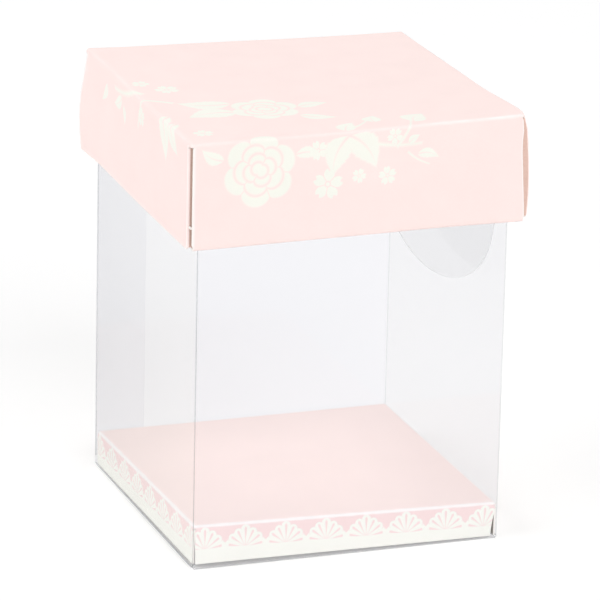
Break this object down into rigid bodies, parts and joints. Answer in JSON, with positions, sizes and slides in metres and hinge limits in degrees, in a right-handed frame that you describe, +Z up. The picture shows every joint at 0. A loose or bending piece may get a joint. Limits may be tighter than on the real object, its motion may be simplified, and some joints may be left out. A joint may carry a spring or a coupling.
{
  "type": "favor box",
  "caption": "Square clear film favor box with a lift-off printed card lid, a lace-edged card base insert, inner top flaps and a tuck bottom.",
  "frame": {"origin": "middle of the underside, on the table", "axes": "+Z up, +X to the right and +Y to the back, seen from the front; the bottom panel folds from the front wall"},
  "size_m": [0.0856, 0.0856, 0.109],
  "materials": {
    "clear_film": "gloss",
    "base_card": "matte",
    "lid_card": "matte"
  },
  "bodies": {
    "clear_box": {"clear_front_wall": "clear_film", "clear_right_wall": "clear_film", "clear_back_wall": "clear_film", "clear_left_wall": "clear_film", "clear_glue_flap": "clear_film"},
    "right_top_flap": {"clear_right_top_flap": "clear_film"},
    "left_top_flap": {"clear_left_top_flap": "clear_film"},
    "bottom": {"bottom_panel": "clear_film", "bottom_tuck_flap": "clear_film"},
    "left_dust_flap": {"bottom_left_dust_flap": "clear_film"},
    "right_dust_flap": {"bottom_right_dust_flap": "clear_film"},
    "base_insert": {"base_floor": "base_card", "base_front_skirt": "base_card", "base_right_skirt": "base_card", "base_back_skirt": "base_card", "base_left_skirt": "base_card"},
    "lid": {"lid_top_panel": "lid_card", "lid_front_wall": "lid_card", "lid_right_wall": "lid_card", "lid_back_wall": "lid_card", "lid_left_wall": "lid_card", "lid_front_inner_wall": "lid_card", "lid_back_inner_wall": "lid_card", "lid_front_left_tab": "lid_card", "lid_front_right_tab": "lid_card", "lid_back_left_tab": "lid_card", "lid_back_right_tab": "lid_card"}
  },
  "joints": [
    {"name": "lid_lift", "type": "slide", "parent": "clear_box", "child": "lid", "axis": [0, 0, 1], "range_m": [0, 0.06]},
    {"name": "base_lift", "type": "slide", "parent": "clear_box", "child": "base_insert", "axis": [0, 0, 1], "range_m": [0, 0.046]},
    {"name": "bottom_open", "type": "hinge", "parent": "clear_box", "child": "bottom", "pos_m": [0, -0.04, 0], "axis": [-1, 0, 0], "range_deg": [0, 90]},
    {"name": "left_dust_drop", "type": "hinge", "parent": "clear_box", "child": "left_dust_flap", "pos_m": [-0.04, 0, 0.00025], "axis": [0, 1, 0], "range_deg": [0, 90]},
    {"name": "right_dust_drop", "type": "hinge", "parent": "clear_box", "child": "right_dust_flap", "pos_m": [0.04, 0, 0.00025], "axis": [0, -1, 0], "range_deg": [0, 90]},
    {"name": "right_flap_swing", "type": "hinge", "parent": "clear_box", "child": "right_top_flap", "pos_m": [0.03965, 0, 0.10805], "axis": [0, -1, 0], "range_deg": [-83.8, 4.2]},
    {"name": "left_flap_swing", "type": "hinge", "parent": "clear_box", "child": "left_top_flap", "pos_m": [-0.03965, 0, 0.10845], "axis": [0, 1, 0], "range_deg": [0, 89]}
  ],
  "couplings": [
    {"joint": "left_dust_drop", "follows": "bottom_open", "ratio": 1},
    {"joint": "right_dust_drop", "follows": "bottom_open", "ratio": 1}
  ]
}
